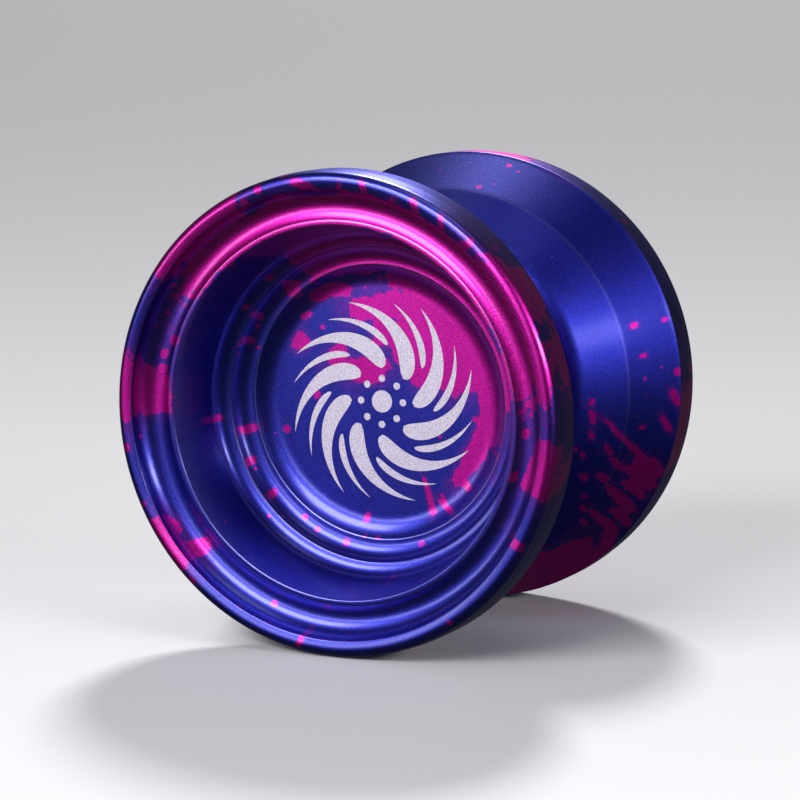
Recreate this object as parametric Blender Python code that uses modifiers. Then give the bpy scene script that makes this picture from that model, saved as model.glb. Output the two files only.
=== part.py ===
"""A ball-bearing metal yo-yo: two turned halves on a threaded axle, standing on its two rims.

The spin axis lies along world Y with the front half towards -Y. Sizes below are in millimetres and
are turned into metres where the meshes are made. Turned outlines are lists of (radius, height)
points: the height of a half's outline is measured outwards from the plane midway between the halves.
"""
from math import asin, atan2, cos, pi, radians, sin, sqrt

import bpy

MM = 0.001

# Halves
RIM_RADIUS = 27.75
HALF_WIDTH = 22.2
GAP_HALF = 2.3
HUB_RADIUS = 13.3
HUB_HEIGHT = 8.2
HALF_STEPS = 48

# Size C ball bearing
BEARING_BORE_RADIUS = 3.175
BEARING_RADIUS = 6.35
BEARING_HALF_WIDTH = 4.7625 / 2
BALL_RADIUS = 1.5875 / 2
BALL_COUNT = 10
PITCH_RADIUS = 4.7625
GROOVE_RADIUS = 0.84
INNER_SHOULDER = 4.25
OUTER_SHOULDER = 5.3
SHIELD_SHELF = 1.84
SHIELD_SEAT_RADIUS = 5.75
SNAP_WIRE_RADIUS = 0.09
SNAP_RING_RADIUS = 5.78
SNAP_RING_HEIGHT = 2.16
BEARING_STEPS = 40

# Axle: M4 set screw
AXLE_RADIUS = 1.96
AXLE_LENGTH = 12.0
SOCKET_ACROSS_FLATS = 2.0
SOCKET_DEPTH = 2.0

# Silicone response pads
PAD_INNER = 7.0
PAD_OUTER = 9.5
PAD_THICKNESS = 0.96

# The lowest facet of the rims rests on z = 0.
AXIS_HEIGHT = RIM_RADIUS * cos(pi / HALF_STEPS)


def clear_scene():
    for obj in list(bpy.data.objects):
        bpy.data.objects.remove(obj, do_unlink=True)


def new_collection(name):
    collection = bpy.data.collections.new(name)
    bpy.context.scene.collection.children.link(collection)
    return collection


def make_material(name, colour, roughness, metallic):
    material = bpy.data.materials.new(name)
    material.use_nodes = True
    shader = material.node_tree.nodes["Principled BSDF"]
    shader.inputs["Base Color"].default_value = (*colour, 1.0)
    shader.inputs["Roughness"].default_value = roughness
    shader.inputs["Metallic"].default_value = metallic
    return material


def arc_between(start, end, radius, steps):
    """Points after start up to and including end, on an arc that is less than half a circle.

    A positive radius puts the centre on the left of the way from start to end.
    """
    chord_r = end[0] - start[0]
    chord_h = end[1] - start[1]
    chord = sqrt(chord_r ** 2 + chord_h ** 2)
    offset = sqrt(radius ** 2 - (chord / 2) ** 2)
    side = 1 if radius > 0 else -1
    centre_r = (start[0] + end[0]) / 2 - side * offset * chord_h / chord
    centre_h = (start[1] + end[1]) / 2 + side * offset * chord_r / chord
    first = atan2(start[1] - centre_h, start[0] - centre_r)
    sweep = side * 2 * asin(chord / 2 / abs(radius))
    points = []
    for step in range(1, steps + 1):
        angle = first + sweep * step / steps
        points.append((centre_r + abs(radius) * cos(angle), centre_h + abs(radius) * sin(angle)))
    return points


def turned(name, outline, steps, material, collection):
    """A solid of revolution about its own Z axis, from an outline that runs down its outer side."""
    mesh = bpy.data.meshes.new(name)
    vertices = [(radius * MM, 0.0, height * MM) for radius, height in outline]
    edges = [(index, index + 1) for index in range(len(outline) - 1)]
    if outline[0][0] > 0:
        edges.append((len(outline) - 1, 0))
    mesh.from_pydata(vertices, edges, [])
    obj = bpy.data.objects.new(name, mesh)
    collection.objects.link(obj)
    screw = obj.modifiers.new("turn", "SCREW")
    screw.axis = "Z"
    screw.angle = 2 * pi
    screw.steps = steps
    screw.render_steps = steps
    screw.use_merge_vertices = True
    screw.merge_threshold = 0.000001
    screw.use_smooth_shade = False
    mesh.materials.append(material)
    return obj


def cup_outline():
    """The outer side of a half, from the middle of its hub disc to the tip of its rim."""
    second_ridge = (16.1, 9.3)
    first_ridge = (18.55, 10.95)
    wall_foot = (20.4, 13.2)
    lip_inner = (21.35, 19.75)
    lip_outer = (21.95, 19.75)
    bead_edge = (25.62, 21.75)
    bead_radius = 1.0
    bead_flank = (RIM_RADIUS - 0.15, HALF_WIDTH - bead_radius)
    bead_tip = (bead_flank[0] - bead_radius, HALF_WIDTH)
    outline = [(0.0, HUB_HEIGHT), (HUB_RADIUS, HUB_HEIGHT)]
    outline += arc_between(outline[-1], second_ridge, 3.6, 4)
    outline += arc_between(second_ridge, first_ridge, 2.2, 4)
    outline += arc_between(first_ridge, wall_foot, 2.0, 4)
    outline += [lip_inner, lip_outer]
    outline += arc_between(lip_outer, bead_edge, 2.3, 6)
    outline += arc_between(bead_edge, bead_tip, -1.8, 2)
    outline += arc_between(bead_tip, bead_flank, -bead_radius, 3)
    return outline


def string_side_outline():
    """The string side of a half, from its land down to the floor of the axle's bore."""
    land_top = (RIM_RADIUS, 19.5)
    land_foot = (RIM_RADIUS, 16.95)
    outer_cone_top = (RIM_RADIUS - 0.15, 16.75)
    step_line = (23.6, 10.25)
    inner_cone_foot = (20.1, 5.8)
    catch_outer = (18.0, 4.665)
    catch_inner = (12.6, 4.3)
    gap_edge = (10.1, GAP_HALF + 0.12)
    outline = [land_top, land_foot, outer_cone_top, step_line, inner_cone_foot]
    outline += arc_between(inner_cone_foot, catch_outer, -3.0, 3) + [catch_inner]
    outline += arc_between(catch_inner, gap_edge, 2.9, 4)
    outline += [(9.95, GAP_HALF), (PAD_OUTER + 0.05, GAP_HALF)]
    pad_groove_floor = GAP_HALF + PAD_THICKNESS + 0.12
    outline += [(PAD_OUTER + 0.05, pad_groove_floor), (PAD_INNER - 0.05, pad_groove_floor)]
    outline += [(PAD_INNER - 0.05, GAP_HALF), (BEARING_RADIUS + 0.15, GAP_HALF)]
    recess_floor = BEARING_HALF_WIDTH + 0.37
    seat = BEARING_HALF_WIDTH + 0.03
    outline += [(BEARING_RADIUS + 0.15, recess_floor), (INNER_SHOULDER, recess_floor)]
    outline += [(INNER_SHOULDER, seat)]
    post_radius = BEARING_BORE_RADIUS - 0.045
    post_tip = 0.15
    outline += [(post_radius, seat), (post_radius, post_tip + 0.2), (post_radius - 0.2, post_tip)]
    bore_radius = AXLE_RADIUS + 0.08
    bore_end = AXLE_LENGTH / 2 + 0.3
    outline += [(bore_radius, post_tip), (bore_radius, bore_end), (0.0, bore_end + 0.5)]
    return outline


def make_half(name, material, collection):
    return turned(name, cup_outline() + string_side_outline(), HALF_STEPS, material, collection)


def make_inner_race(material, collection):
    chamfer = 0.2
    groove_edge = sqrt(GROOVE_RADIUS ** 2 - (PITCH_RADIUS - INNER_SHOULDER) ** 2)
    side = BEARING_HALF_WIDTH
    outline = [(BEARING_BORE_RADIUS + chamfer, side), (INNER_SHOULDER, side), (INNER_SHOULDER, groove_edge)]
    outline += arc_between(outline[-1], (INNER_SHOULDER, -groove_edge), GROOVE_RADIUS, 6)
    outline += [(INNER_SHOULDER, -side), (BEARING_BORE_RADIUS + chamfer, -side)]
    outline += [(BEARING_BORE_RADIUS, chamfer - side), (BEARING_BORE_RADIUS, side - chamfer)]
    return turned("bearing_inner_race", outline, BEARING_STEPS, material, collection)


def make_outer_race(material, collection):
    chamfer = 0.3
    side = BEARING_HALF_WIDTH
    groove_edge = sqrt(GROOVE_RADIUS ** 2 - (OUTER_SHOULDER - PITCH_RADIUS) ** 2)
    snap_groove = SNAP_RING_RADIUS + SNAP_WIRE_RADIUS + 0.03
    snap_low = SNAP_RING_HEIGHT - SNAP_WIRE_RADIUS - 0.02
    snap_high = SNAP_RING_HEIGHT + SNAP_WIRE_RADIUS + 0.02
    upper_bore = [(OUTER_SHOULDER, SHIELD_SHELF), (SHIELD_SEAT_RADIUS, SHIELD_SHELF)]
    upper_bore += [(SHIELD_SEAT_RADIUS, snap_low), (snap_groove, snap_low)]
    upper_bore += [(snap_groove, snap_high), (SHIELD_SEAT_RADIUS, snap_high), (SHIELD_SEAT_RADIUS, side)]
    lower_bore = [(radius, -height) for radius, height in reversed(upper_bore)]
    outline = [(BEARING_RADIUS - chamfer, side), (BEARING_RADIUS, side - chamfer)]
    outline += [(BEARING_RADIUS, chamfer - side), (BEARING_RADIUS - chamfer, -side)]
    outline += lower_bore
    outline += [(OUTER_SHOULDER, -groove_edge)]
    outline += arc_between(outline[-1], (OUTER_SHOULDER, groove_edge), GROOVE_RADIUS, 6)
    outline += upper_bore
    return turned("bearing_outer_race", outline, BEARING_STEPS, material, collection)


def make_shield(name, material, collection):
    inner = INNER_SHOULDER + 0.15
    outer = SHIELD_SEAT_RADIUS - 0.05
    low = SHIELD_SHELF + 0.02
    high = low + 0.15
    outline = [(inner, high), (outer, high), (outer, low), (inner, low)]
    return turned(name, outline, BEARING_STEPS, material, collection)


def make_snap_ring(name, material, collection):
    """A round wire bent into a ring with an opening at one side."""
    opening = radians(24)
    points = 34
    curve = bpy.data.curves.new(name, "CURVE")
    curve.dimensions = "3D"
    curve.bevel_depth = SNAP_WIRE_RADIUS * MM
    curve.bevel_resolution = 2
    curve.use_fill_caps = True
    spline = curve.splines.new("POLY")
    spline.points.add(points - 1)
    for index, point in enumerate(spline.points):
        angle = opening / 2 + (2 * pi - opening) * index / (points - 1)
        across = SNAP_RING_RADIUS * MM * cos(angle)
        along = SNAP_RING_RADIUS * MM * sin(angle)
        point.co = (across, along, SNAP_RING_HEIGHT * MM, 1.0)
    curve.materials.append(material)
    obj = bpy.data.objects.new(name, curve)
    collection.objects.link(obj)
    return obj


def make_ball(name, material, collection):
    bpy.ops.mesh.primitive_uv_sphere_add(segments=12, ring_count=8, radius=BALL_RADIUS * MM)
    obj = bpy.context.active_object
    obj.name = name
    obj.data.name = name
    for owner in list(obj.users_collection):
        owner.objects.unlink(obj)
    collection.objects.link(obj)
    obj.data.materials.append(material)
    obj.data.shade_smooth()
    return obj


def ball_place(index):
    angle = 2 * pi * index / BALL_COUNT
    return (PITCH_RADIUS * MM * cos(angle), PITCH_RADIUS * MM * sin(angle), 0.0)


def make_cage(material, collection, cutters):
    """A crown-shaped ring whose round pockets, open at one side, snap over the balls."""
    inner = 4.42
    outer = 5.12
    back = -1.25
    front = 0.42
    pocket_radius = BALL_RADIUS + 0.08
    outline = [(inner, front), (outer, front), (outer, back), (inner, back)]
    cage = turned("bearing_cage", outline, 50, material, collection)
    bpy.ops.mesh.primitive_uv_sphere_add(segments=12, ring_count=8, radius=pocket_radius * MM)
    pocket = bpy.context.active_object
    shared = pocket.data
    bpy.data.objects.remove(pocket, do_unlink=True)
    for index in range(BALL_COUNT):
        cutter = bpy.data.objects.new(f"cage_pocket_{index + 1:02d}", shared)
        cutter.hide_render = True
        cutter.display_type = "WIRE"
        cutter.location = ball_place(index)
        cutter.parent = cage
        cutters.objects.link(cutter)
        cut = cage.modifiers.new(cutter.name, "BOOLEAN")
        cut.operation = "DIFFERENCE"
        cut.solver = "EXACT"
        cut.object = cutter
    return cage


def make_axle(material, collection, cutters):
    """A set screw along its own Z axis, with a hex socket in the end at +Z."""
    chamfer = 0.35
    end = AXLE_LENGTH / 2
    outline = [(0.0, end), (AXLE_RADIUS - chamfer, end), (AXLE_RADIUS, end - chamfer)]
    outline += [(AXLE_RADIUS, chamfer - end), (AXLE_RADIUS - chamfer, -end), (0.0, -end)]
    axle = turned("axle", outline, 24, material, collection)
    corner_radius = SOCKET_ACROSS_FLATS / 2 / cos(pi / 6)
    bpy.ops.mesh.primitive_cylinder_add(
        vertices=6, radius=corner_radius * MM, depth=2 * SOCKET_DEPTH * MM, location=(0.0, 0.0, end * MM)
    )
    socket = bpy.context.active_object
    socket.name = "axle_socket"
    socket.hide_render = True
    socket.display_type = "WIRE"
    for owner in list(socket.users_collection):
        owner.objects.unlink(socket)
    cutters.objects.link(socket)
    socket.parent = axle
    cut = axle.modifiers.new("socket", "BOOLEAN")
    cut.operation = "DIFFERENCE"
    cut.solver = "EXACT"
    cut.object = socket
    return axle


def make_pad(name, material, collection):
    low = GAP_HALF + 0.09
    high = low + PAD_THICKNESS
    outline = [(PAD_INNER, high), (PAD_OUTER, high), (PAD_OUTER, low), (PAD_INNER, low)]
    return turned(name, outline, HALF_STEPS, material, collection)


def new_empty(name, collection, parent=None):
    empty = bpy.data.objects.new(name, None)
    collection.objects.link(empty)
    empty.parent = parent
    return empty


def build():
    clear_scene()
    parts = new_collection("yo_yo")
    cutters = new_collection("cutters")
    anodised = make_material("anodised_aluminium", (0.05, 0.05, 0.42), 0.36, 1.0)
    steel = make_material("bearing_steel", (0.55, 0.55, 0.57), 0.22, 1.0)
    dark_steel = make_material("axle_steel", (0.08, 0.08, 0.09), 0.4, 1.0)
    silicone = make_material("silicone", (0.75, 0.75, 0.78), 0.6, 0.0)

    # Each empty's +Z axis is the spin axis, pointing out of the half that it carries.
    front_axis = new_empty("front_axis", parts)
    front_axis.location = (0.0, 0.0, AXIS_HEIGHT * MM)
    front_axis.rotation_euler = (pi / 2, 0.0, 0.0)
    rear_axis = new_empty("rear_axis", parts, front_axis)
    rear_axis.rotation_euler = (pi, 0.0, 0.0)

    # Half a step about the axis turns a facet of each rim to the floor.
    half_step = pi / HALF_STEPS
    for side, axis in (("front", front_axis), ("rear", rear_axis)):
        half = make_half(f"{side}_half", anodised, parts)
        half.parent = axis
        half.rotation_euler = (0.0, 0.0, half_step)
        pad = make_pad(f"response_pad_{side}", silicone, parts)
        pad.parent = axis
        pad.rotation_euler = (0.0, 0.0, half_step)
        make_shield(f"bearing_shield_{side}", steel, parts).parent = axis
        make_snap_ring(f"bearing_snap_ring_{side}", steel, parts).parent = axis

    make_axle(dark_steel, parts, cutters).parent = front_axis
    make_inner_race(steel, parts).parent = front_axis
    make_outer_race(steel, parts).parent = front_axis
    make_cage(steel, parts, cutters).parent = front_axis
    for index in range(BALL_COUNT):
        ball = make_ball(f"bearing_ball_{index + 1:02d}", steel, parts)
        ball.location = ball_place(index)
        ball.parent = front_axis


build()
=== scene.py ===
"""Looks for the ball-bearing yo-yo: fine turned surfaces, splash-anodised aluminium, steel, silicone.

Outlines are lists of (radius, height) or (radius, height, rounding) points in millimetres, as on a
drawing of a turned piece: heights of a half are measured outwards from the plane midway between the
halves. Each half has its own axes: +Z outwards along the spin axis, and angles counterclockwise seen
from outside, from the part's +X.
"""
from math import asin, atan2, ceil, cos, pi, radians, sin, sqrt

import bmesh
import bpy
import numpy as np
from mathutils import Matrix, Vector, noise


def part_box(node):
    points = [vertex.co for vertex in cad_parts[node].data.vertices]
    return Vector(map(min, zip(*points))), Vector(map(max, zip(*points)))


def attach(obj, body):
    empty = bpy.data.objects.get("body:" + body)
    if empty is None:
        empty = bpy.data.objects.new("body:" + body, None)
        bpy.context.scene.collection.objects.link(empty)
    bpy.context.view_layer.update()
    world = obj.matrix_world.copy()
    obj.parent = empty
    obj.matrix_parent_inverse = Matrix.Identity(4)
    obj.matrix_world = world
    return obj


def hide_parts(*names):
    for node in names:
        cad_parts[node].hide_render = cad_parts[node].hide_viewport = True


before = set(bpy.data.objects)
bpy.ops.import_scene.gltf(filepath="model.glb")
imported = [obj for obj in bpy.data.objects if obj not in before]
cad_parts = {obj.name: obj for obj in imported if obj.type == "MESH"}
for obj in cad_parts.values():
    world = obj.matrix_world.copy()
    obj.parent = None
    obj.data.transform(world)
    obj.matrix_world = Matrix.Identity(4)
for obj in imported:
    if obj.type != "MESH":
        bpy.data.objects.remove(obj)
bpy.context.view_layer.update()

MM = 0.001
RIM_LOW, RIM_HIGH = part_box("front_half")
AXIS_HEIGHT = (RIM_LOW.z + RIM_HIGH.z) / 2
RIM_RADIUS = (RIM_HIGH.z - RIM_LOW.z) / 2 / MM
HALF_WIDTH = -RIM_LOW.y / MM
HUB_HEIGHT = 8.2
HUB_RADIUS = 13.3
GAP_HALF = 2.3
PAD_WIDTH = 2.5

BEARING_HALF_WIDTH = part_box("bearing_outer_race")[1].y / MM
BEARING_RADIUS = 6.35
BORE_RADIUS = 3.175
PITCH_RADIUS = 4.7625
GROOVE_RADIUS = 0.84
INNER_SHOULDER = 4.25
OUTER_SHOULDER = 5.3
SHIELD_SEAT_RADIUS = 5.75
SHIELD_SHELF = 1.84
SNAP_RING_RADIUS = 5.78
SNAP_RING_OPENING = radians(24)
BALL_RADIUS = 0.79375
BALL_COUNT = 10

AXLE_HALF_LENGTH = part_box("axle")[1].y / MM
THREAD_RADIUS = 1.96
THREAD_DEPTH = 0.38
THREAD_PITCH = 0.7
SOCKET_ACROSS_FLATS = 2.0
SOCKET_DEPTH = 2.0

AXLE_CENTRE = Vector((0.0, 0.0, AXIS_HEIGHT))
FRONT = Matrix.Translation(AXLE_CENTRE) @ Matrix.Rotation(pi / 2, 4, "X")
REAR = FRONT @ Matrix.Rotation(pi, 4, "X")
SIDES = {"front": FRONT, "rear": REAR}

SHARP_ANGLE = radians(35)
# A half's surface whose normal has a lower Z than this is on its string side.
STRING_SIDE_SLOPE = -0.05


# ---------------------------------------------------------------- meshes


def placed(data, place):
    """A new object in the scene for a mesh, light or camera, with its name."""
    result = bpy.data.objects.new(data.name, data)
    bpy.context.scene.collection.objects.link(result)
    result.matrix_world = place
    return result


def smooth(mesh):
    """Smooth shading, apart from sharp edges."""
    mesh.shade_smooth()
    mesh.set_sharp_from_angle(angle=SHARP_ANGLE)
    return mesh


def mesh_piece(name, vertices, faces, place):
    mesh = bpy.data.meshes.new(name)
    mesh.from_pydata(vertices, [], faces)
    return placed(smooth(mesh), place)


def mesh_from(solid, name):
    """A new mesh with what the bmesh holds; the bmesh is freed."""
    mesh = bpy.data.meshes.new(name)
    solid.to_mesh(mesh)
    solid.free()
    return mesh


def circle(steps):
    return [2 * pi * step / steps for step in range(steps)]


def band(upper, lower):
    """Faces between two rings of as many vertices, which may be one vertex over and over."""
    faces = []
    for step in range(len(upper)):
        after = (step + 1) % len(upper)
        corners = [upper[step], lower[step], lower[after], upper[after]]
        faces.append(list(dict.fromkeys(corners)))
    return faces


# ---------------------------------------------------------------- turned shapes


def arc(start, end, radius, steps):
    """Points strictly between start and end on an arc; a positive radius has its centre on the left."""
    chord_r = end[0] - start[0]
    chord_h = end[1] - start[1]
    chord = sqrt(chord_r ** 2 + chord_h ** 2)
    offset = sqrt(radius ** 2 - (chord / 2) ** 2)
    side = 1 if radius > 0 else -1
    centre_r = (start[0] + end[0]) / 2 - side * offset * chord_h / chord
    centre_h = (start[1] + end[1]) / 2 + side * offset * chord_r / chord
    first = atan2(start[1] - centre_h, start[0] - centre_r)
    sweep = side * 2 * asin(chord / 2 / abs(radius))
    points = []
    for step in range(1, steps):
        angle = first + sweep * step / steps
        points.append((centre_r + abs(radius) * cos(angle), centre_h + abs(radius) * sin(angle)))
    return points


def rounded(outline, closed):
    """The outline as (radius, height, edge mark), each corner with a rounding replaced by a small curve.

    The edge mark, for wear and for a painted highlight along the edge, is greatest in the middle of such a
    curve, up to 1 where the rounding is small, and 0 elsewhere.
    """
    curve_steps = 4
    fully_worn_and_highlit = 0.2
    most_of_a_side = 0.45
    count = len(outline)
    points = []
    for index, point in enumerate(outline):
        corner = Vector((point[0], point[1], 0.0))
        if len(point) == 2 or (not closed and index in (0, count - 1)):
            points.append(corner)
            continue
        before = Vector((*outline[index - 1][:2], 0.0)) - corner
        after = Vector((*outline[(index + 1) % count][:2], 0.0)) - corner
        reach = min(point[2], most_of_a_side * before.length, most_of_a_side * after.length)
        start = corner + before.normalized() * reach
        end = corner + after.normalized() * reach
        for step in range(curve_steps + 1):
            t = step / curve_steps
            place = start * (1 - t) ** 2 + corner * 2 * t * (1 - t) + end * t ** 2
            place.z = 4 * t * (1 - t) * min(1.0, fully_worn_and_highlit / point[2])
            points.append(place)
    return points


def divided(points, closed, longest):
    """The points with long stretches cut into equal pieces, so that smooth shading stays even."""
    result = []
    count = len(points)
    for index, point in enumerate(points):
        result.append(point)
        if index == count - 1 and not closed:
            break
        following = points[(index + 1) % count]
        pieces = ceil((following - point).xy.length / longest)
        result += [point.lerp(following, piece / pieces) for piece in range(1, pieces)]
    return result


def turned(name, outline, place, steps=192, longest=0.6):
    """A turned solid. An outline that starts off the axis is closed; one that starts on it ends on it."""
    closed = outline[0][0] > 0
    points = divided(rounded(outline, closed), closed, longest)
    vertices = []
    # Per vertex edge mark: wear and a painted highlight along the rounded edges.
    wear = []
    rings = []
    for point in points:
        first = len(vertices)
        if point.x < 1e-6:
            vertices.append((0.0, 0.0, point.y * MM))
            wear.append(0.0)
            rings.append([first] * steps)
            continue
        for angle in circle(steps):
            vertices.append((point.x * MM * cos(angle), point.x * MM * sin(angle), point.y * MM))
            wear.append(point.z)
        rings.append(list(range(first, first + steps)))
    faces = []
    for index in range(len(rings) if closed else len(rings) - 1):
        faces += band(rings[index], rings[(index + 1) % len(rings)])
    piece = mesh_piece(name, vertices, faces, place)
    piece.data.attributes.new("edge_wear", "FLOAT", "POINT").data.foreach_set("value", wear)
    return piece


# ---------------------------------------------------------------- outlines


def cup_outline():
    """From the middle of the hub disc out to the flank of the rim bead."""
    second_ridge = (16.1, 9.3, 0.14)
    first_ridge = (18.55, 10.95, 0.14)
    wall_foot = (20.4, 13.2)
    lip_inner = (21.35, 19.75, 0.2)
    lip_outer = (21.95, 19.75, 0.2)
    bead_edge = (25.62, 22.0, 0.14)
    bead_radius = 1.0
    bead_flank = (RIM_RADIUS - 0.15, HALF_WIDTH - bead_radius)
    bead_tip = (bead_flank[0] - bead_radius, HALF_WIDTH)
    cup = [(0.0, HUB_HEIGHT), (HUB_RADIUS, HUB_HEIGHT)]
    cup += arc(cup[-1], second_ridge, 3.6, 10) + [second_ridge]
    cup += arc(second_ridge, first_ridge, 2.2, 10) + [first_ridge]
    cup += arc(first_ridge, wall_foot, 2.0, 10) + [wall_foot]
    cup += [lip_inner, lip_outer]
    cup += arc(lip_outer, bead_edge, 2.3, 20) + [bead_edge]
    cup += arc(bead_edge, bead_tip, -5.0, 4) + [bead_tip]
    cup += arc(bead_tip, bead_flank, -bead_radius, 12) + [bead_flank]
    return cup


def string_side_outline():
    """From the rim land in to the bottom of the axle's hole."""
    land_top = (RIM_RADIUS, 19.5)
    land_foot = (RIM_RADIUS, 16.9, 0.25)
    outer_cone_top = (RIM_RADIUS - 0.15, 16.72)
    step_line = (23.6, 10.25, 0.4)
    inner_cone_foot = (20.1, 5.8)
    catch_outer = (18.0, 4.665)
    catch_inner = (12.6, 4.3)
    gap_edge = (10.1, GAP_HALF + 0.12)
    face_edge = (9.95, GAP_HALF, 0.1)
    side = [land_top, land_foot, outer_cone_top, step_line, inner_cone_foot]
    side += arc(inner_cone_foot, catch_outer, -3.0, 12) + [catch_outer, catch_inner]
    side += arc(catch_inner, gap_edge, 2.9, 20) + [gap_edge, face_edge]

    pad_inner, pad_outer = pad_radii()
    groove_floor = heights_of("response_pad_front")[1] + 0.03
    groove_outer = pad_outer + 0.05
    groove_inner = pad_inner - 0.05
    side += [(groove_outer, GAP_HALF, 0.08), (groove_outer, groove_floor)]
    side += [(groove_inner, groove_floor), (groove_inner, GAP_HALF, 0.06)]

    recess = BEARING_RADIUS + 0.15
    recess_floor = BEARING_HALF_WIDTH + 0.37
    seat = BEARING_HALF_WIDTH + 0.03
    side += [(recess, GAP_HALF, 0.08), (recess, recess_floor)]
    side += [(INNER_SHOULDER, recess_floor), (INNER_SHOULDER, seat, 0.04)]

    post = BORE_RADIUS - 0.045
    post_end = 0.15
    post_chamfer = 0.2
    hole = THREAD_RADIUS + 0.08
    hole_end = AXLE_HALF_LENGTH + 0.3
    side += [(post, seat), (post, post_end + post_chamfer, 0.05), (post - post_chamfer, post_end, 0.05)]
    side += [(hole, post_end, 0.05), (hole, hole_end), (0.0, hole_end + 0.5)]
    return side


def pad_radii():
    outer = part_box("response_pad_front")[1].x / MM
    return outer - PAD_WIDTH, outer


def heights_of(node):
    """How far a node's near and far faces are from the plane between the halves, in millimetres."""
    low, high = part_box(node)
    return sorted((abs(low.y) / MM, abs(high.y) / MM))


# ---------------------------------------------------------------- dye splashes

# Patches of dye: (angle, radius, half length, half width, slant), in degrees and millimetres. A patch
# lies along the rim, and the slant turns it counterclockwise from there.
CUP_SPLASHES = [
    # rim bead
    (26, 26.3, 9.2, 1.7, 0),
    (-9, 26.2, 3.4, 1.6, 0),
    (-29, 26.0, 0.5, 1.4, 0),
    (50, 25.9, 0.4, 1.3, 25),
    (58, 26.1, 0.35, 1.2, -30),
    (66, 26.2, 0.4, 1.0, -35),
    (72, 25.7, 0.35, 0.6, 0),
    (80, 26.0, 0.35, 1.2, -25),
    (87, 25.8, 0.3, 0.7, 10),
    (97, 26.3, 0.5, 1.4, -70),
    (109, 26.8, 0.5, 0.6, 0),
    (114, 26.0, 0.35, 0.45, 0),
    (131, 26.5, 7.0, 1.5, 0),
    (176, 26.5, 4.1, 1.4, 0),
    (191, 26.8, 0.5, 0.6, 0),
    (206, 26.9, 0.4, 0.5, 0),
    (218, 26.4, 3.6, 1.3, 0),
    (229, 26.9, 0.5, 0.4, 0),
    (262, 26.2, 0.35, 0.9, 15),
    # channel behind the bead
    (78, 23.2, 29.0, 2.0, 0),
    (178, 23.6, 2.6, 2.2, 0),
    (161, 22.6, 0.7, 0.6, 0),
    (166, 23.5, 0.6, 0.5, 0),
    (170, 23.2, 0.5, 0.7, 0),
    (171, 24.9, 0.5, 0.8, 0),
    (223, 24.4, 1.0, 1.4, 20),
    (-12, 24.5, 2.2, 0.9, 10),
    (-2, 23.0, 0.6, 0.5, 0),
    (-15, 22.3, 0.6, 0.5, 0),
    # wall and coves
    (104, 20.6, 7.5, 1.4, 0),
    (35, 18.9, 13.0, 2.0, 0),
    (100, 19.0, 7.5, 1.0, 0),
    (92, 17.2, 9.0, 1.6, 0),
    (40, 16.9, 12.0, 1.7, 0),
    (131, 16.9, 1.1, 0.9, 30),
    (148, 18.0, 0.5, 0.5, 0),
    (133, 19.3, 0.5, 0.4, 0),
    (147, 19.4, 0.4, 0.35, 0),
    (159, 17.9, 0.45, 0.5, 0),
    (188, 20.1, 0.35, 0.5, 0),
    (194, 17.3, 0.55, 1.0, 0),
    (206, 18.1, 0.5, 0.4, 0),
    (221, 17.8, 0.45, 0.5, 0),
    (256, 17.2, 0.35, 0.4, 0),
    (36, 14.9, 14.0, 1.5, 0),
    (118, 14.4, 2.6, 0.8, 15),
    (137, 13.9, 0.4, 0.4, 0),
    (262, 14.0, 0.4, 0.6, 0),
    (-55, 14.3, 0.35, 1.4, -20),
    (-62, 14.0, 0.5, 0.5, 0),
    # hub disc
    (42, 11.0, 7.0, 3.6, 0),
    (50, 7.0, 3.6, 2.6, 0),
    (92, 11.4, 4.0, 1.6, 0),
    (80, 8.2, 2.4, 1.6, 0),
    (115, 4.6, 2.8, 1.5, 20),
    (142, 7.6, 1.7, 1.2, 0),
    (-8, 13.2, 6.6, 1.0, 0),
    (-32, 13.0, 2.6, 0.8, 0),
    (149, 12.4, 1.2, 1.2, 0),
    (134, 13.7, 0.35, 0.35, 0),
    (133, 11.3, 0.3, 0.3, 0),
    (178, 8.4, 0.5, 0.4, 0),
    (-7, 12.0, 0.35, 0.35, 0),
    (-60, 12.0, 0.35, 2.1, 15),
    (-54, 13.5, 0.3, 0.8, 15),
    (-40, 14.0, 0.5, 1.0, 10),
]

# On the sides that face the string, where the dye was flung outwards in streaks.
STRING_SIDE_SPLASHES = [
    # a broad patch and the streaks next to it
    (67, 25.8, 9.0, 2.3, 0),
    (45, 26.9, 2.6, 0.6, 25),
    (40, 25.4, 2.2, 0.5, 55),
    (37, 26.3, 1.6, 0.5, 52),
    (32, 25.5, 2.1, 0.55, 50),
    (28, 26.0, 1.6, 0.5, 54),
    (24, 26.0, 2.0, 0.7, 50),
    (21, 26.3, 1.7, 0.8, 46),
    (14.5, 24.1, 4.3, 0.3, 41),
    (21, 23.6, 1.4, 0.3, 48),
    # short streaks and drops round them
    (26, 23.0, 0.6, 0.5, 50),
    (28, 21.4, 0.5, 0.4, 40),
    (29, 24.2, 0.7, 0.3, 50),
    (17, 22.6, 0.8, 0.25, 38),
    (13, 20.8, 0.6, 0.25, 22),
    (7, 20.6, 1.0, 0.25, 10),
    (2, 20.5, 0.4, 0.25, 10),
    (20, 20.6, 0.5, 0.25, 22),
    (38, 22.9, 0.5, 0.3, 50),
    (34, 22.4, 0.4, 0.3, 50),
    (42, 23.9, 0.6, 0.3, 50),
    (9, 26.7, 1.2, 0.3, 24),
    (2, 27.2, 1.0, 0.35, 20),
    (10, 25.0, 0.3, 0.3, 0),
    (-10, 24.9, 0.3, 0.3, 0),
    (-19, 24.7, 0.35, 0.35, 0),
    (-18, 27.2, 0.3, 0.3, 0),
    # elsewhere
    (-72, 28.5, 5.0, 0.6, 0),
    (170, 25.0, 9.0, 2.0, 0),
    (160, 21.5, 4.0, 0.5, 40),
    (176, 21.0, 4.0, 0.5, 52),
    (205, 20.0, 4.0, 2.4, 30),
    (222, 26.0, 5.0, 1.2, 0),
    (216, 22.5, 3.0, 0.4, 60),
]

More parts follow.
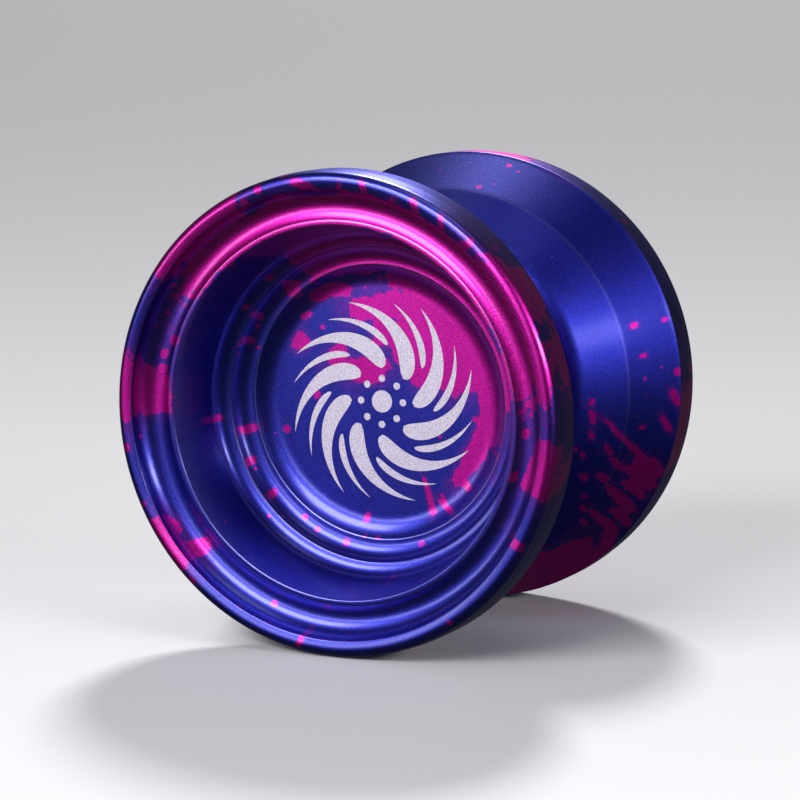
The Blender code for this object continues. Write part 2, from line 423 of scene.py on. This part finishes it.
# noise_vector takes its start from the clock unless it has a seed.
SPLASH_SEED = 28


def paint_splashes(piece, cup_turn, string_turn):
    """Writes to each vertex about how many millimetres it is from the nearest patch, negative inside.

    The turns are in radians, clockwise, for the patches of the cup and of the string side.
    """
    noise.seed_set(SPLASH_SEED)
    mesh = piece.data
    places = [vertex.co / MM for vertex in mesh.vertices]
    drift = np.array([drift_at(place) for place in places])
    places = np.array(places)
    in_cup = np.array([vertex.normal.z > STRING_SIDE_SLOPE for vertex in mesh.vertices])
    cup_gap = splash_distance(places, drift, CUP_SPLASHES, cup_turn)
    string_gap = splash_distance(places, drift, STRING_SIDE_SPLASHES, string_turn)
    gap = mesh.attributes.new("dye_gap", "FLOAT", "POINT")
    gap.data.foreach_set("value", np.where(in_cup, cup_gap, string_gap).astype(np.float32))


def drift_at(place):
    """How far a patch's edge wanders there, in millimetres: broad waves with smaller ones on them."""
    return noise.noise_vector(place * 0.22) * 1.0 + noise.noise_vector(place * 0.7) * 0.4


def splash_distance(places, drift, splashes, turn):
    """About how far each place is from the nearest patch, in millimetres.

    Small patches wander less than broad ones, and their distance is overstated, so that the ragged
    edge that the material adds doesn't swallow them.
    """
    broad = 1.5
    least_scale = 1.6
    nearest = np.full(len(places), 50.0)
    for angle, radius, half_length, half_width, slant in splashes:
        size = min(half_length, half_width)
        moved = places + drift * min(1.0, size / broad)
        away = np.arctan2(moved[:, 1], moved[:, 0]) - radians(angle) + turn
        along = ((away + pi) % (2 * pi) - pi) * radius
        across = np.hypot(moved[:, 0], moved[:, 1]) - radius
        tilt = radians(slant)
        length = (along * cos(tilt) + across * sin(tilt)) / half_length
        width = (across * cos(tilt) - along * sin(tilt)) / half_width
        gap = ((length ** 4 + width ** 4) ** 0.25 - 1.0) * max(size, least_scale)
        nearest = np.minimum(nearest, gap)
    return nearest


# ---------------------------------------------------------------- shader nodes


class Tree:
    """Short calls for making and joining shader nodes."""

    def __init__(self, name):
        self.material = bpy.data.materials.new(name)
        self.material.use_nodes = True
        self.tree = self.material.node_tree
        self.shader = self.tree.nodes["Principled BSDF"]

    def put(self, value, socket):
        if isinstance(value, bpy.types.NodeSocket):
            self.tree.links.new(value, socket)
        elif value is not None:
            socket.default_value = value

    def node(self, kind, *values, **settings):
        node = self.tree.nodes.new(kind)
        for key, value in settings.items():
            setattr(node, key, value)
        for value, socket in zip(values, node.inputs):
            self.put(value, socket)
        return node

    def math(self, operation, *values, clamp=False):
        return self.node("ShaderNodeMath", *values, operation=operation, use_clamp=clamp).outputs[0]

    def vector(self, operation, *values, output=0):
        return self.node("ShaderNodeVectorMath", *values, operation=operation).outputs[output]

    def scaled(self, vector, factor):
        node = self.node("ShaderNodeVectorMath", vector, operation="SCALE")
        self.put(factor, node.inputs["Scale"])
        return node.outputs[0]

    def noise(self, vector, scale, detail=2.0, roughness=0.5):
        node = self.node("ShaderNodeTexNoise", vector)
        node.inputs["Scale"].default_value = scale
        node.inputs["Detail"].default_value = detail
        node.inputs["Roughness"].default_value = roughness
        return node.outputs["Fac"]

    def step(self, value, low, high):
        """0 at low and 1 at high, smooth between them, whichever is larger."""
        node = self.node("ShaderNodeMapRange", value, low, high, 0.0, 1.0, interpolation_type="SMOOTHSTEP")
        return node.outputs[0]

    def mix(self, factor, first, second):
        node = self.tree.nodes.new("ShaderNodeMix")
        node.data_type = "RGBA"
        self.put(factor, node.inputs[0])
        self.put(first, node.inputs[6])
        self.put(second, node.inputs[7])
        return node.outputs[2]

    def position(self):
        """Millimetres in the piece's own axes, whatever the pose."""
        return self.scaled(self.node("ShaderNodeTexCoord").outputs["Object"], 1 / MM)

    def bump(self, height, distance, strength):
        node = self.node("ShaderNodeBump")
        node.inputs["Distance"].default_value = distance
        node.inputs["Strength"].default_value = strength
        self.put(height, node.inputs["Height"])
        self.put(node.outputs[0], self.shader.inputs["Normal"])

    def finish(self, **sockets):
        """Sets the shader's own sockets, named with underscores for spaces."""
        for name, value in sockets.items():
            self.put(value, self.shader.inputs[name.replace("_", " ")])
        return self.material


def colour(red, green, blue):
    return (red, green, blue, 1.0)


def droplets(tree, spot, spacing, largest):
    """Round drops, one to a cell of that spacing at most, up to that radius, in millimetres."""
    cells = tree.node("ShaderNodeTexVoronoi", tree.scaled(spot, 1 / spacing))
    cells.inputs["Scale"].default_value = 1.0
    shade = tree.node("ShaderNodeSeparateColor", cells.outputs["Color"]).outputs[0]
    size = tree.math("MULTIPLY", tree.math("POWER", shade, 3.0), largest / spacing)
    return tree.step(tree.math("SUBTRACT", cells.outputs["Distance"], size), 0.03, -0.03)


def anodised(name, roughness, coat):
    """Aluminium dyed deep blue, with magenta splashed over it and a pale metal colour along its edges that
    is partly wear and partly a painted highlight.
    """
    tree = Tree(name)
    place = tree.position()
    patch = tree.node("ShaderNodeAttribute", attribute_name="dye_gap").outputs["Fac"]
    ragged = tree.math("MULTIPLY_ADD", tree.noise(place, 0.9, 4.0, 0.65), 1.3, -0.65)
    gap = tree.math("ADD", patch, ragged)
    splash = tree.step(gap, 0.06, -0.06)
    crowd = tree.step(tree.noise(place, 0.12, 1.0), 0.45, 0.6)
    drops = tree.math("MAXIMUM", droplets(tree, place, 4.0, 0.9), droplets(tree, place, 1.9, 0.5))
    dye = tree.math("MAXIMUM", splash, tree.math("MULTIPLY", drops, crowd), clamp=True)
    thin = tree.math("MULTIPLY", tree.step(gap, 1.6, -0.6), tree.noise(place, 0.5, 2.0), clamp=True)
    dye = tree.math("MAXIMUM", dye, tree.math("MULTIPLY", thin, 0.35), clamp=True)
    depth = tree.noise(place, 0.16, 2.0)
    grain = tree.noise(place, 6.0, 2.0, 0.75)
    blue = tree.mix(depth, colour(0.018, 0.024, 0.33), colour(0.032, 0.035, 0.45))
    magenta = tree.mix(depth, colour(0.54, 0.004, 0.32), colour(0.74, 0.010, 0.45))
    # A pale metal colour along the rounded edges: partly wear through the dye, partly a painted highlight
    # line.
    bare_and_highlight_colour = colour(0.62, 0.60, 0.78)
    dyed = tree.scaled(tree.mix(dye, blue, magenta), tree.math("MULTIPLY_ADD", grain, 2.2, -0.1))
    edge = tree.node("ShaderNodeAttribute", attribute_name="edge_wear").outputs["Fac"]
    # How much of the pale edge colour, wear and painted highlight, shows; it also lowers the roughness
    # there.
    worn_and_highlit = tree.math("MULTIPLY", tree.step(edge, 0.2, 0.9), 0.14)
    rough = tree.math("MULTIPLY_ADD", grain, 0.12, roughness - 0.06)
    tree.bump(grain, 0.00005, 0.45)
    return tree.finish(
        Base_Color=tree.mix(worn_and_highlit, dyed, bare_and_highlight_colour),
        Metallic=1.0,
        Roughness=tree.math("MULTIPLY_ADD", worn_and_highlit, -0.3, rough),
        Coat_Weight=coat,
        Coat_Roughness=0.2,
        Coat_IOR=1.7,
    )


def etched():
    """Bare aluminium where a laser has burnt the dye away."""
    tree = Tree("laser_etched_aluminium")
    grain = tree.noise(tree.position(), 6.0, 3.0, 0.75)
    tree.bump(grain, 0.00004, 0.5)
    fleck = tree.step(grain, 0.36, 0.6)
    return tree.finish(
        Base_Color=tree.mix(fleck, colour(0.46, 0.42, 0.54), colour(0.74, 0.68, 0.80)),
        Metallic=0.4,
        Roughness=tree.math("MULTIPLY_ADD", grain, 0.15, 0.45),
    )


def ground_steel(name, shade, roughness, line_depth):
    """Steel with fine lines that run round the spin axis, as grinding and turning leave them."""
    tree = Tree(name)
    parts = tree.node("ShaderNodeSeparateXYZ", tree.position()).outputs
    flat = tree.node("ShaderNodeCombineXYZ", parts["X"], parts["Y"], 0.0).outputs[0]
    radius = tree.vector("LENGTH", flat, output=1)
    rings = tree.node("ShaderNodeCombineXYZ", radius, parts["Z"], 0.0).outputs[0]
    lines = tree.noise(rings, 14.0, 3.0, 0.7)
    tree.bump(lines, 0.00002, line_depth)
    dark = colour(shade * 0.8, shade * 0.8, shade * 0.82)
    bright = colour(shade, shade, shade * 1.02)
    return tree.finish(
        Base_Color=tree.mix(lines, dark, bright),
        Metallic=1.0,
        Roughness=tree.math("MULTIPLY_ADD", lines, 0.1, roughness),
    )


def blacked_steel():
    """Dark oxide on a screw, worn brighter in patches."""
    tree = Tree("black_oxide_steel")
    place = tree.position()
    wear = tree.step(tree.noise(place, 0.8, 4.0, 0.6), 0.5, 0.75)
    grain = tree.noise(place, 8.0, 2.0, 0.6)
    tree.bump(grain, 0.00002, 0.4)
    return tree.finish(
        Base_Color=tree.mix(wear, colour(0.04, 0.04, 0.045), colour(0.16, 0.155, 0.15)),
        Metallic=0.9,
        Roughness=tree.math("MULTIPLY_ADD", grain, 0.15, 0.3),
    )


def silicone():
    tree = Tree("silicone")
    grain = tree.noise(tree.position(), 3.0, 4.0, 0.6)
    tree.bump(grain, 0.00003, 0.4)
    return tree.finish(
        Base_Color=tree.mix(grain, colour(0.70, 0.71, 0.74), colour(0.80, 0.81, 0.83)),
        Roughness=tree.math("MULTIPLY_ADD", grain, 0.15, 0.5),
        Subsurface_Weight=0.25,
        Subsurface_Scale=0.0008,
        Subsurface_Radius=(1.0, 1.0, 1.0),
    )


# ---------------------------------------------------------------- halves and pads


def dress(piece, material, body, slot, *nodes):
    piece.data.materials.clear()
    piece.data.materials.append(material)
    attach(piece, body)
    if nodes:
        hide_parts(*nodes)


def blade(start_radius, end_radius, angle, width):
    """The outline of a curved blade, pointed at both ends, as (x, y) points in millimetres."""
    steps = 24
    sweep = radians(66)
    whirl_start = 3.6
    whirl_length = 8.6
    left = []
    right = []
    for step in range(steps + 1):
        t = step / steps
        radius = start_radius + (end_radius - start_radius) * t
        middle = angle + sweep * ((radius - whirl_start) / whirl_length) ** 1.3
        half = width / 2 * sin(pi * t ** 0.7) ** 0.8 / radius if 0 < t < 1 else 0.0
        left.append((radius * cos(middle + half), radius * sin(middle + half)))
        right.append((radius * cos(middle - half), radius * sin(middle - half)))
    return right + left[-2:0:-1]


def disc(x, y, radius, steps):
    """The outline of a disc, as (x, y) points in millimetres."""
    return [(x + radius * cos(angle), y + radius * sin(angle)) for angle in circle(steps)]


def hub_mark(name, place):
    """A whirl of flat blades round a ring of dots, a hair proud of the hub disc."""
    low = (HUB_HEIGHT - 0.05) * MM
    high = (HUB_HEIGHT + 0.012) * MM
    blades = 8
    dot_ring = 2.7
    shapes = [disc(0.0, 0.0, 1.3, 48)]
    for turn in circle(blades):
        shapes.append(blade(3.9, 12.2, turn, 2.7))
        shapes.append(blade(6.6, 11.6, turn + pi / blades, 1.3))
        shapes.append(disc(dot_ring * cos(turn), dot_ring * sin(turn), 0.42, 16))
    solid = bmesh.new()
    for shape in shapes:
        bottom = [solid.verts.new((x * MM, y * MM, low)) for x, y in shape]
        top = [solid.verts.new((x * MM, y * MM, high)) for x, y in shape]
        solid.faces.new(top)
        solid.faces.new(bottom[::-1])
        for index in range(len(shape)):
            after = (index + 1) % len(shape)
            solid.faces.new((bottom[index], bottom[after], top[after], top[index]))
    bmesh.ops.triangulate(solid, faces=[face for face in solid.faces if len(face.verts) > 4])
    return placed(mesh_from(solid, name), place)


def make_halves():
    outline = cup_outline() + string_side_outline()
    polished = anodised("anodised_cup", 0.34, 0.6)
    blasted = anodised("anodised_string_side", 0.43, 0.1)
    mark_metal = etched()
    # The sides that face the camera have their patches unturned, and the other two differ from them.
    turns = {"front": (0.0, 2.6), "rear": (2.1, 0.0)}
    for side, place in SIDES.items():
        half = turned(f"{side}_half_turned", outline, place, 320, 0.5)
        paint_splashes(half, *turns[side])
        dress(half, polished, f"{side}_half_body", "anodised_aluminium", f"{side}_half")
        half.data.materials.append(blasted)
        for face in half.data.polygons:
            face.material_index = 1 if face.normal.z < STRING_SIDE_SLOPE else 0
        mark = hub_mark(f"{side}_hub_mark", place)
        dress(mark, mark_metal, f"{side}_half_body", "anodised_aluminium")


def make_pads():
    rubber = silicone()
    inner, outer = pad_radii()
    for side, place in SIDES.items():
        low, high = heights_of(f"response_pad_{side}")
        outline = [(inner, high), (outer, high), (outer, low, 0.15), (inner, low, 0.15)]
        pad = turned(f"{side}_pad_ring", outline, place, 192, 0.4)
        dress(pad, rubber, f"{side}_half_body", "silicone", f"response_pad_{side}")


# ---------------------------------------------------------------- bearing and axle


def make_races():
    steel = ground_steel("ground_bearing_steel", 0.62, 0.14, 0.35)
    edge = BEARING_HALF_WIDTH
    reach_in = sqrt(GROOVE_RADIUS ** 2 - (PITCH_RADIUS - INNER_SHOULDER) ** 2)
    reach_out = sqrt(GROOVE_RADIUS ** 2 - (OUTER_SHOULDER - PITCH_RADIUS) ** 2)
    groove_top = (INNER_SHOULDER, reach_in, 0.04)
    groove_bottom = (INNER_SHOULDER, -reach_in, 0.04)
    inner = [(BORE_RADIUS, -edge, 0.15), (INNER_SHOULDER, -edge, 0.08), groove_bottom]
    inner += arc(groove_bottom, groove_top, GROOVE_RADIUS, 16)
    inner += [groove_top, (INNER_SHOULDER, edge, 0.08), (BORE_RADIUS, edge, 0.15)]
    race = turned("inner_race_ground", inner[::-1], FRONT, 192, 0.3)
    dress(race, steel, "inner_race_body", "bearing_steel", "bearing_inner_race")

    groove_top = (OUTER_SHOULDER, reach_out, 0.04)
    groove_bottom = (OUTER_SHOULDER, -reach_out, 0.04)
    outer = [(BEARING_RADIUS, edge, 0.2), (SHIELD_SEAT_RADIUS, edge, 0.06)]
    outer += snap_groove(1) + [(SHIELD_SEAT_RADIUS, SHIELD_SHELF), (OUTER_SHOULDER, SHIELD_SHELF, 0.04)]
    outer += [groove_top] + arc(groove_top, groove_bottom, GROOVE_RADIUS, 16) + [groove_bottom]
    outer += [(OUTER_SHOULDER, -SHIELD_SHELF, 0.04), (SHIELD_SEAT_RADIUS, -SHIELD_SHELF)] + snap_groove(-1)
    outer += [(SHIELD_SEAT_RADIUS, -edge, 0.06), (BEARING_RADIUS, -edge, 0.2)]
    race = turned("outer_race_ground", outer[::-1], FRONT, 192, 0.3)
    dress(race, steel, "outer_race_body", "bearing_steel", "bearing_outer_race")


def snap_groove(side):
    """The groove for the snap ring in the shield's seat, in the order of the outer race's outline."""
    top = 2.27
    bottom = 2.05
    floor = SHIELD_SEAT_RADIUS + 0.13
    first, last = (top, bottom) if side > 0 else (-bottom, -top)
    return [(SHIELD_SEAT_RADIUS, first), (floor, first), (floor, last), (SHIELD_SEAT_RADIUS, last)]


def make_shields():
    pressed = ground_steel("pressed_shield_steel", 0.55, 0.24, 0.6)
    wire_steel = ground_steel("snap_wire_steel", 0.5, 0.2, 0.2)
    rim = 5.7
    step_outer = 5.15
    step_inner = 5.05
    hole = 4.4
    step_height = 0.04
    for side, place in SIDES.items():
        low, high = heights_of(f"bearing_shield_{side}")
        sunk = high - step_height
        raised = low + step_height
        outline = [(rim, high, 0.03), (step_outer, high, 0.05), (step_inner, sunk, 0.05)]
        outline += [(hole, sunk, 0.03), (hole, low, 0.03)]
        outline += [(step_inner, low), (step_outer, raised), (rim, raised, 0.03)]
        shield = turned(f"{side}_shield_pressed", outline[::-1], place, 192, 0.3)
        dress(shield, pressed, "outer_race_body", "bearing_steel", f"bearing_shield_{side}")
        ring = snap_ring(f"{side}_snap_wire", side, place)
        dress(ring, wire_steel, "outer_race_body", "bearing_steel", f"bearing_snap_ring_{side}")


def snap_ring(name, side, place):
    """A wire ring with an opening, where the CAD model has it."""
    low, high = heights_of(f"bearing_snap_ring_{side}")
    height = (low + high) / 2
    wire = (high - low) / 2
    wire_sides = 12
    count = 160
    rings = []
    vertices = []
    for step in range(count + 1):
        angle = SNAP_RING_OPENING / 2 + (2 * pi - SNAP_RING_OPENING) * step / count
        first = len(vertices)
        for turn in circle(wire_sides):
            radius = (SNAP_RING_RADIUS + wire * cos(turn)) * MM
            vertices.append((radius * cos(angle), radius * sin(angle), (height + wire * sin(turn)) * MM))
        rings.append(list(range(first, first + wire_sides)))
    faces = [rings[0][::-1], rings[-1]]
    for index in range(count):
        faces += band(rings[index], rings[index + 1])
    return mesh_piece(name, vertices, faces, place)


def make_balls():
    polished = Tree("polished_ball_steel")
    haze = polished.noise(polished.position(), 2.0, 3.0)
    material = polished.finish(
        Base_Color=polished.mix(haze, colour(0.60, 0.60, 0.61), colour(0.72, 0.72, 0.73)),
        Metallic=1.0,
        Roughness=polished.math("MULTIPLY_ADD", haze, 0.05, 0.05),
    )
    for index in range(1, BALL_COUNT + 1):
        low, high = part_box(f"bearing_ball_{index:02d}")
        solid = bmesh.new()
        bmesh.ops.create_icosphere(solid, subdivisions=4, radius=BALL_RADIUS * MM)
        data = mesh_from(solid, f"ball_{index:02d}_polished")
        data.shade_smooth()
        ball = placed(data, Matrix.Translation((low + high) / 2))
        dress(ball, material, f"ball_{index:02d}_body", "ball_steel", f"bearing_ball_{index:02d}")


def thread_radius(height, angle):
    """The screw's radius there: a right-hand V thread, run out at both ends."""
    crest_share = 0.12
    flank_share = 0.72
    end_chamfer = 0.4
    turn = (height / THREAD_PITCH - angle / (2 * pi)) % 1.0
    from_crest = abs(turn - 0.5) * 2
    depth = THREAD_DEPTH * min(1.0, max(0.0, (from_crest - crest_share) / flank_share))
    run_out = THREAD_RADIUS - end_chamfer + (AXLE_HALF_LENGTH - abs(height))
    return min(THREAD_RADIUS - depth, run_out)


def make_axle():
    """Rings of vertices from the bottom of the hex socket, over its edge and down the thread."""
    steps = 72
    count = 300
    drill_radius = 0.85
    drill_point = 0.4
    socket_chamfer = 0.15
    mouth_extra = 0.12
    vertices = []
    rings = []

    def ring(radius_at, height):
        first = len(vertices)
        for angle in circle(steps):
            radius = radius_at(angle) * MM
            vertices.append((radius * cos(angle), radius * sin(angle), height * MM))
        rings.append(list(range(first, first + steps)))

    def hexagon(angle):
        return SOCKET_ACROSS_FLATS / 2 / cos((angle + pi / 6) % (pi / 3) - pi / 6)

    def point(height):
        vertices.append((0.0, 0.0, height * MM))
        rings.append([len(vertices) - 1] * steps)

    top = AXLE_HALF_LENGTH
    point(top - SOCKET_DEPTH - drill_point)
    ring(lambda angle: drill_radius, top - SOCKET_DEPTH)
    ring(hexagon, top - SOCKET_DEPTH)
    ring(hexagon, top - socket_chamfer)
    ring(lambda angle: hexagon(angle) + mouth_extra, top)
    for step in range(count + 1):
        height = top - 2 * top * step / count
        ring(lambda angle: thread_radius(height, angle), height)
    point(-top)
    faces = []
    for index in range(len(rings) - 1):
        faces += band(rings[index], rings[index + 1])
    axle = mesh_piece("axle_threaded", vertices, faces, FRONT)
    dress(axle, blacked_steel(), "rear_half_body", "axle_steel", "axle")


def make_cage():
    """The CAD model's own cage, moved into the bearing's axes so that its turning lines run round them."""
    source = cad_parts["bearing_cage"]
    solid = bmesh.new()
    solid.from_mesh(source.data)
    solid.transform(FRONT.inverted() @ source.matrix_world)
    bmesh.ops.remove_doubles(solid, verts=solid.verts, dist=0.0001 * MM)
    cage = placed(smooth(mesh_from(solid, "cage_pressed")), FRONT)
    pressed = ground_steel("pressed_cage_steel", 0.5, 0.26, 0.5)
    dress(cage, pressed, "cage_body", "bearing_steel", "bearing_cage")


# ---------------------------------------------------------------- studio


def look_from(azimuth, elevation, distance, target):
    """A matrix at that direction and distance from the axle's centre, looking at target."""
    turn = radians(azimuth)
    rise = radians(elevation)
    back = Vector((sin(turn) * cos(rise), -cos(turn) * cos(rise), sin(rise)))
    spot = AXLE_CENTRE + back * distance
    aim = (target - spot).to_track_quat("-Z", "Y")
    return Matrix.Translation(spot) @ aim.to_matrix().to_4x4()


def add_camera():
    data = bpy.data.cameras.new("camera")
    data.sensor_width = 36.0
    data.lens = 135.8
    data.clip_start = 0.01
    target = AXLE_CENTRE + Vector((-1.24, -0.73, -0.88)) * MM
    bpy.context.scene.camera = placed(data, look_from(25.3, 8.0, 0.3586, target))


def add_light(name, azimuth, elevation, distance, width, height, power):
    """A softbox of that width and height in metres, facing the yo-yo."""
    data = bpy.data.lights.new(name, "AREA")
    data.shape = "RECTANGLE"
    data.size = width
    data.size_y = height
    data.energy = power
    light = placed(data, look_from(azimuth, elevation, distance, AXLE_CENTRE))
    light.visible_camera = False


def add_sun(azimuth, elevation, strength, spread):
    data = bpy.data.lights.new("back_key", "SUN")
    data.energy = strength
    data.angle = radians(spread)
    placed(data, look_from(azimuth, elevation, 1.0, AXLE_CENTRE))


def make_backdrop():
    """Pale beyond the floor's edge, where the camera sees it, and dim as a light and in reflections."""
    world = bpy.data.worlds.new("studio")
    world.use_nodes = True
    nodes = world.node_tree.nodes
    links = world.node_tree.links
    seen = nodes.new("ShaderNodeLightPath")
    shade = nodes.new("ShaderNodeMix")
    shade.data_type = "RGBA"
    shade.inputs[6].default_value = colour(0.04, 0.04, 0.045)
    shade.inputs[7].default_value = colour(0.42, 0.42, 0.43)
    links.new(seen.outputs["Is Camera Ray"], shade.inputs[0])
    links.new(shade.outputs[2], nodes["Background"].inputs["Color"])
    return world


def add_studio():
    bpy.context.scene.world = make_backdrop()
    reach = 12.0
    corners = [(-reach, -reach, 0), (reach, -reach, 0), (reach, reach, 0), (-reach, reach, 0)]
    floor = mesh_piece("floor", corners, [(0, 1, 2, 3)], Matrix())
    pale = Tree("pale_floor").finish(Base_Color=colour(0.72, 0.72, 0.74), Roughness=0.8)
    floor.data.materials.append(pale)
    floor.visible_glossy = False
    add_sun(200, 42, 2.3, 10)
    add_light("front_softbox", -12, 30, 0.6, 0.40, 0.22, 2.9)
    add_light("low_fill", -28, 6, 0.8, 0.60, 0.12, 1.05)
    add_light("right_softbox", 77, 20, 0.5, 0.28, 0.08, 0.95)
    add_light("top_fill", 40, 75, 0.8, 0.40, 0.40, 0.60)
    bpy.context.scene.view_settings.view_transform = "Standard"


make_halves()
make_pads()
make_races()
make_shields()
make_balls()
make_axle()
make_cage()
add_camera()
add_studio()
